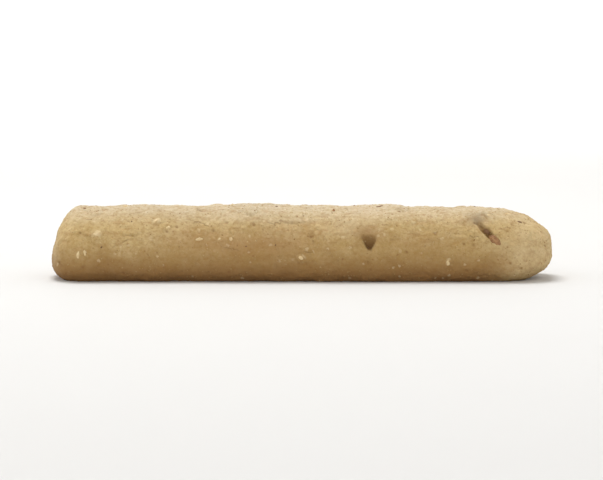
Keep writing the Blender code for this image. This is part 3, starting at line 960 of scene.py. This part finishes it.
crustFinish = {
    "pale": colour(213, 190, 144),
    "gold": colour(191, 164, 111),
    # toasted crust colour, also laid as painted shade in creases and towards the bottom
    "toastedAndShade": colour(157, 123, 68),
    # painted shade in chips and hairline cracks
    "hollowShade": colour(122, 88, 48),
    # the colour of the painted shade at the groove's upper end
    "paintedGrooveShade": colour(146, 127, 101),
    # browner patches, and the painted shade above the notch
    "blushAndShade": colour(157, 115, 70),
    # the colour of paler patches and of the painted light at the ends
    "bloomAndLight": colour(205, 186, 158),
    # browner towards the bottom: the crust's own browning and painted shade
    "undersideBrownAndShade": colour(128, 91, 52),
    "kernelGlow": colour(222, 202, 162),
    "paleFleck": colour(228, 209, 172),
    # real dark specks, also laid as painted shade in the pores
    "darkFleckAndPoreShade": colour(134, 94, 56),
    "flour": colour(222, 205, 172),
    # painted highlight laid on the top
    "paintedTopLight": colour(212, 202, 181),
    "layers": (  # mask, colour, and how much of it shows, from the first laid down to the last
        # painted highlight: the top painted paler, as the light from above falls on it
        ("paintedTopLight", "paintedTopLight", 0.80),
        ("fine", "toastedAndShade", 0.42),
        ("grains", "flour", 0.30),
        ("gaps", "toastedAndShade", 0.34),
        ("streaks", "blushAndShade", 0.34),
        # painted shade in the creases between grains
        ("paintedCreaseShade", "toastedAndShade", 0.26),
        # browner patches, and painted shade above the notch
        ("blushAndShade", "blushAndShade", 0.60),
        # foot and sole, darker towards the bottom: partly the crust's browning, partly painted shade
        ("foot", "toastedAndShade", 0.70),
        ("soleBrownAndShade", "undersideBrownAndShade", 1.00),
        # paler patches, and painted light at the ends
        ("bloomAndLight", "bloomAndLight", 0.60),
        ("paleFlecks", "paleFleck", 0.30),
        ("darkFlecks", "darkFleckAndPoreShade", 0.45),
        ("thin", "kernelGlow", 0.55),
        # painted shade in the pores
        ("paintedPoreShade", "darkFleckAndPoreShade", 0.60),
        # painted shade in the hairline cracks
        ("lines", "hollowShade", 0.32),
        # painted shade at the groove's upper end
        ("paintedGrooveShade", "paintedGrooveShade", 0.80),
        # painted shade inside the chips
        ("paintedChipShade", "hollowShade", 0.85),
    ),
    "patchNoise": (0.017, 3.0),  # wavelength, detail and, where it isn't the usual one, roughness
    "patchBand": (0.36, 0.64),
    "mottleNoise": (0.0046, 4.0, 0.6),
    "mottleBand": (0.32, 0.68),
    "mottleShare": 0.5,
    "fineNoise": (0.0011, 3.0, 0.65),
    "fineBand": (0.44, 0.70),
    "grainNoise": (0.00045, 2.0, 0.6),
    "grainBand": (0.56, 0.74),
    "gapBand": (0.44, 0.28),
    "finestNoise": (0.0002, 2.0),
    "streakNoise": (0.0015, 3.0, 0.6),
    "streakStretch": (0.42, 1.0, 1.0),  # they run along the biscuit
    "streakBand": (0.50, 0.70),
    "paleFlecks": (0.0019, 0.16, 0.30, (3.0, 2.1, 3.9)),  # spacing, share of the cells, size in cells, seed
    "darkFlecks": (0.00133, 0.10, 0.26, (5.0, 3.5, 6.5)),
    "fleckBend": (1.6, 0.8),  # waves to a cell, and how far they bend it, in cells
    "fleckKeep": 0.02,  # the share of the cells over which flecks fade in
    "fleckCore": 0.5,  # a fleck is solid inside this share of its size
    "footReach": (0.0005, 0.0150),  # height over which the browning and painted shade of the foot fade out
    "soleReach": (0.0002, 0.0105),
    "soleShare": (0.20, 0.65),  # everywhere, and what the browned and shaded stretch adds
    "wanderNoise": (0.007, 3.0),
    "wander": (0.0100, 0.0025, 0.0020),  # how far the tops of the foot's and sole's browning and painted shade, and the foot of the painted top light, stray
    "paintedTopLightReach": (0.0142, 0.0208),  # height over which the top is painted paler, a painted highlight from the light above
    "lineSpacing": 0.0085,
    "lineStretch": (0.36, 1.0, 1.0),
    "lineBend": (900.0, 0.0012),
    "lineWidth": (0.016, 0.002),
    "linePatches": (0.006, 2.0),
    "lineBand": (0.55, 0.66),
    "roughness": (0.80, 0.96),
    "roughBand": (0.3, 0.7),
    "bump": 1.0,
    "fineRelief": 0.00025,
    "grainRelief": 0.00014,
    "finestRelief": 0.00004,
    "reliefs": (  # mask, and how far it rises
        ("streaks", -0.00006),
        ("paleFlecks", 0.00006),
        ("darkFlecks", -0.00005),
        ("lines", -0.00016),
    ),
}


# Cells of which only a share carry a fleck, each smaller than its cell.
def fleckMask(make, places, spacing, share, size, seed):
    scale, reach = crustFinish["fleckBend"]
    bent = make.bend(places, scale / spacing, reach * spacing)
    moved = make.node("VectorMath", {"operation": "ADD"}, {0: bent, 1: seed})
    inputs = {"Vector": moved, "Scale": 1.0 / spacing}
    cell = make.node("SeparateColor", {}, {0: make.node("TexVoronoi", {"feature": "F1"}, inputs, "Color")})
    distance = make.node("TexVoronoi", {"feature": "F1"}, inputs)
    kept = make.step(cell, share + crustFinish["fleckKeep"], share)
    return kept * make.step(distance, size, size * crustFinish["fleckCore"])


# Ragged hairline cracks: the borders of long cells, kept in a few places only. The crust's colour darkens
# them with painted shade.
def hairlines(make, places):
    long = make.stretch(make.bend(places, *crustFinish["lineBend"]), crustFinish["lineStretch"])
    inputs = {"Vector": long, "Scale": 1.0 / crustFinish["lineSpacing"]}
    border = make.node("TexVoronoi", {"feature": "DISTANCE_TO_EDGE"}, inputs)
    kept = make.step(make.noise(places, *crustFinish["linePatches"]), *crustFinish["lineBand"])
    return make.step(border, *crustFinish["lineWidth"]) * kept


def crustMaterial():
    make = Maker("bakedCrust")
    finish = crustFinish
    places = make.places()
    height = make.height(places)
    patches = make.step(make.noise(places, *finish["patchNoise"]), *finish["patchBand"])
    mottle = make.step(make.noise(places, *finish["mottleNoise"]), *finish["mottleBand"])
    fine = make.noise(places, *finish["fineNoise"])
    grains = make.noise(places, *finish["grainNoise"])
    finest = make.noise(places, *finish["finestNoise"])
    streaks = make.noise(make.stretch(places, finish["streakStretch"]), *finish["streakNoise"])
    brownedAndShaded = make.attribute("brownedAndShaded")
    stray = make.noise(places, *finish["wanderNoise"]) - 0.5
    footStray, soleStray, topLightStray = finish["wander"]
    everywhere, added = finish["soleShare"]
    # Darker towards the bottom: partly the crust's browning, partly painted shade.
    foot = 1.0 - make.step(height + stray * footStray, *finish["footReach"])
    soleBrownAndShade = 1.0 - make.step(height + stray * soleStray, *finish["soleReach"])
    masks = {
        # painted highlight: paler towards the top
        "paintedTopLight": make.step(height + stray * topLightStray, *finish["paintedTopLightReach"]),
        "fine": make.step(fine, *finish["fineBand"]),
        "grains": make.step(grains, *finish["grainBand"]),
        "gaps": make.step(grains, *finish["gapBand"]),
        "streaks": make.step(streaks, *finish["streakBand"]),
        "foot": foot * brownedAndShaded,
        "soleBrownAndShade": soleBrownAndShade * (everywhere + brownedAndShaded * added),
        "paleFlecks": fleckMask(make, places, *finish["paleFlecks"]),
        "darkFlecks": fleckMask(make, places, *finish["darkFlecks"]),
        "lines": hairlines(make, places),
    }
    for name in ("paintedCreaseShade", "blushAndShade", "bloomAndLight", "thin", "paintedPoreShade", "paintedGrooveShade", "paintedChipShade"):
        masks[name] = make.attribute(name)

    golden = patches * (1.0 - finish["mottleShare"]) + mottle * finish["mottleShare"]
    base = make.mix(golden, finish["pale"], finish["gold"])
    for mask, tone, share in finish["layers"]:
        base = make.mix(masks[mask] * share, base, finish[tone])

    low, high = finish["roughness"]
    smooth, coarse = finish["roughBand"]
    rough = make.node("MapRange", {}, {0: fine, 1: smooth, 2: coarse, 3: low, 4: high})
    relief = fine * finish["fineRelief"] + grains * finish["grainRelief"] + finest * finish["finestRelief"]
    for mask, rise in finish["reliefs"]:
        relief = relief + masks[mask] * rise
    return make.finish(Base_Color=base, Roughness=rough, Normal=make.bump(relief, finish["bump"]),
                       Specular_IOR_Level=0.22, Subsurface_Weight=0.10,
                       Subsurface_Radius=(1.0, 0.6, 0.3), Subsurface_Scale=0.0010)


almondFinish = {
    "kernel": colour(217, 194, 150),
    "kernelShade": colour(194, 165, 118),
    "skin": colour(164, 122, 80),
    "skinShade": colour(122, 84, 52),
    "foot": colour(144, 110, 67),
    "footReach": (0.0005, 0.0065),
    "footShare": 0.60,
    "streakNoise": (0.0008, 3.0, 0.6),
    "streakBand": (0.35, 0.70),
    "streakShare": 0.7,
    "streakRelief": 0.00012,
    "bump": 0.8,
    "skinBand": (0.35, 0.65),
    "roughness": (0.55, 0.2),  # at the least, and what the streaks add
}


def almondMaterial():
    make = Maker("choppedAlmond")
    places = make.places()
    streaks = make.noise(places, *almondFinish["streakNoise"])
    shade = make.step(streaks, *almondFinish["streakBand"])
    grain = shade * almondFinish["streakShare"]
    kernel = make.mix(grain, almondFinish["kernel"], almondFinish["kernelShade"])
    skin = make.mix(shade, almondFinish["skin"], almondFinish["skinShade"])
    base = make.mix(make.step(make.attribute("skin"), *almondFinish["skinBand"]), kernel, skin)
    # Bits low down darken towards the bottom: partly browning, partly painted shade, as on the crust's
    # foot.
    foot = 1.0 - make.step(make.height(places), *almondFinish["footReach"])
    base = make.mix(foot * almondFinish["footShare"], base, almondFinish["foot"])
    bump = make.bump(streaks * almondFinish["streakRelief"], almondFinish["bump"])
    least, added = almondFinish["roughness"]
    return make.finish(Base_Color=base, Roughness=least + shade * added, Normal=bump,
                       Specular_IOR_Level=0.35, Subsurface_Weight=0.10,
                       Subsurface_Radius=(1.0, 0.7, 0.4), Subsurface_Scale=0.0010)


flakeFinish = {
    "light": colour(146, 110, 76),
    "dark": colour(96, 68, 46),
    "lineNoise": (0.0005, 3.0, 0.6),
    "lineBand": (0.4, 0.7),
    "lineShare": 0.5,
    "lineRelief": 0.00008,
    "bump": 0.8,
    "roughness": (0.6, 0.3),
}


def flakeMaterial():
    make = Maker("almondSkin")
    lines = make.noise(make.places(), *flakeFinish["lineNoise"])
    base = make.mix(make.attribute("tone"), flakeFinish["light"], flakeFinish["dark"])
    marks = make.step(lines, *flakeFinish["lineBand"])
    base = make.mix(marks * flakeFinish["lineShare"], base, flakeFinish["dark"])
    bump = make.bump(lines * flakeFinish["lineRelief"], flakeFinish["bump"])
    least, added = flakeFinish["roughness"]
    return make.finish(Base_Color=base, Roughness=least + lines * added, Normal=bump,
                       Specular_IOR_Level=0.3)


crumbFinish = {
    "pale": colour(190, 164, 117),
    "middle": colour(174, 146, 99),
    "toastedAndShade": colour(144, 110, 67),
    "middleBand": (0.0, 0.6),
    "toastedBand": (0.75, 1.0),
    "footReach": (0.0010, 0.0110),
    "footShare": 0.75,
    "grainNoise": (0.0004, 2.0),
    "grainBand": (0.4, 0.7),
    "grainShare": 0.3,
    "grainRelief": 0.00008,
    "bump": 0.6,
    "roughness": (0.8, 0.15),
}


def crumbMaterial():
    make = Maker("crumb")
    tone = make.attribute("tone")
    places = make.places()
    grains = make.noise(places, *crumbFinish["grainNoise"])
    marks = make.step(grains, *crumbFinish["grainBand"])
    foot = 1.0 - make.step(make.height(places), *crumbFinish["footReach"])
    base = make.mix(make.step(tone, *crumbFinish["middleBand"]), crumbFinish["pale"], crumbFinish["middle"])
    base = make.mix(make.step(tone, *crumbFinish["toastedBand"]), base, crumbFinish["toastedAndShade"])
    base = make.mix(marks * crumbFinish["grainShare"], base, crumbFinish["toastedAndShade"])
    # Crumb darkens towards the bottom: partly browning, partly painted shade, as on the crust's foot.
    base = make.mix(foot * crumbFinish["footShare"], base, crumbFinish["toastedAndShade"])
    bump = make.bump(grains * crumbFinish["grainRelief"], crumbFinish["bump"])
    least, added = crumbFinish["roughness"]
    return make.finish(Base_Color=base, Roughness=least + grains * added, Normal=bump,
                       Specular_IOR_Level=0.22)


print("finishes: crust, almonds, skins and crumb")
for piece, finish in ((crustPiece, crustMaterial()), (almondPieces, almondMaterial()),
                      (skinFlakes, flakeMaterial()), (looseCrumb, crumbMaterial())):
    piece.data.materials.append(finish)
    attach(piece, bodyName)
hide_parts(biscuitNode)


# A pale studio: a floor that sweeps up into a wall all round, and soft light from above, with a weak fill.
studio = {
    "floorRadius": 0.9,
    "bendRadius": 0.5,
    "wallHeight": 1.6,
    "steps": 96,
    "bendSteps": 12,
    "mergeDistance": 1e-5,
    "floorColour": colour(220, 219, 217),
    "floorShade": colour(214, 213, 211),
    "shadeNoise": (0.05, 2.0),
    "shadeShare": 0.15,
    "backdropGlow": 0.46,
    "glowReach": (0.30, 0.95),  # the floor is unlit by itself inside this, and glows beyond it
    "skyStrength": 0.24,
    "topPower": 6.8,
    "topSize": 0.55,
    "topPlace": (-0.12, 0.22, 0.9),
    "fillPower": 0.5,
    "fillSize": 0.8,
    "fillPlace": (-0.5, -0.9, 0.5),
    "aim": (0.0, 0.0, 0.01),
}


def sweptFloor():
    outline = [(0.0, 0.0), (studio["floorRadius"], 0.0)]
    for step in range(1, studio["bendSteps"] + 1):
        turn = 0.5 * math.pi * step / studio["bendSteps"]
        outline.append((studio["floorRadius"] + studio["bendRadius"] * math.sin(turn),
                        studio["bendRadius"] * (1.0 - math.cos(turn))))
    outline.append((outline[-1][0], studio["wallHeight"]))
    shape = bmesh.new()
    start = [shape.verts.new((radius, 0.0, height)) for radius, height in outline]
    edges = [shape.edges.new(pair) for pair in zip(start, start[1:])]
    bmesh.ops.spin(shape, geom=start + edges, cent=(0.0, 0.0, 0.0), axis=(0.0, 0.0, 1.0),
                   angle=2.0 * math.pi, steps=studio["steps"], use_merge=True)
    bmesh.ops.remove_doubles(shape, verts=shape.verts[:], dist=studio["mergeDistance"])
    bmesh.ops.recalc_face_normals(shape, faces=shape.faces[:])
    mesh = bpy.data.meshes.new("sweptFloor")
    shape.to_mesh(mesh)
    shape.free()
    mesh.shade_smooth()
    floor = bpy.data.objects.new("sweptFloor", mesh)
    bpy.context.scene.collection.objects.link(floor)
    make = Maker("paleFloor")
    places = make.places()
    tone = make.noise(places, *studio["shadeNoise"])
    shade = make.mix(tone * studio["shadeShare"], studio["floorColour"], studio["floorShade"])
    reach = make.node("VectorMath", {"operation": "LENGTH"}, {0: places}, "Value")
    glow = make.step(reach, *studio["glowReach"])
    light = make.mix(glow, (0.0, 0.0, 0.0, 1.0), (1.0, 1.0, 1.0, 1.0))
    mesh.materials.append(make.finish(Base_Color=shade, Roughness=0.7, Specular_IOR_Level=0.2,
                                      Emission_Color=light, Emission_Strength=studio["backdropGlow"]))


def softLight(name, place, size, power):
    light = bpy.data.lights.new(name, "AREA")
    light.shape = "DISK"
    light.size = size
    light.energy = power
    holder = bpy.data.objects.new(name, light)
    bpy.context.scene.collection.objects.link(holder)
    holder.location = place
    holder.rotation_euler = (Vector(studio["aim"]) - Vector(place)).to_track_quat("-Z", "Y").to_euler()


def sky():
    world = bpy.data.worlds.new("paleSky")
    world.use_nodes = True
    world.node_tree.nodes["Background"].inputs["Color"].default_value = (1.0, 1.0, 1.0, 1.0)
    world.node_tree.nodes["Background"].inputs["Strength"].default_value = studio["skyStrength"]
    bpy.context.scene.world = world


view = {
    "elevation": math.radians(5.5),
    "distance": 0.90,
    "sensorWidth": 36.0,
    "biscuitWidth": 500.0,  # pixels of the picture's width that the biscuit fills
    "pictureWidth": 603.0,
}


def camera():
    data = bpy.data.cameras.new("photoCamera")
    middle = (cadLow + cadHigh) / 2.0
    seen = (cadHigh.x - cadLow.x) * view["pictureWidth"] / view["biscuitWidth"]
    data.sensor_width = view["sensorWidth"]
    data.lens = view["sensorWidth"] * view["distance"] / seen
    data.clip_start = 0.01
    holder = bpy.data.objects.new("photoCamera", data)
    bpy.context.scene.collection.objects.link(holder)
    back = Vector((0.0, -math.cos(view["elevation"]), math.sin(view["elevation"])))
    holder.location = middle + back * view["distance"]
    holder.rotation_euler = (-back).to_track_quat("-Z", "Y").to_euler()
    bpy.context.scene.camera = holder


print("studio: floor, light and camera")
sweptFloor()
softLight("topLight", studio["topPlace"], studio["topSize"], studio["topPower"])
softLight("fillLight", studio["fillPlace"], studio["fillSize"], studio["fillPower"])
sky()
camera()
bpy.context.scene.view_settings.view_transform = "Standard"
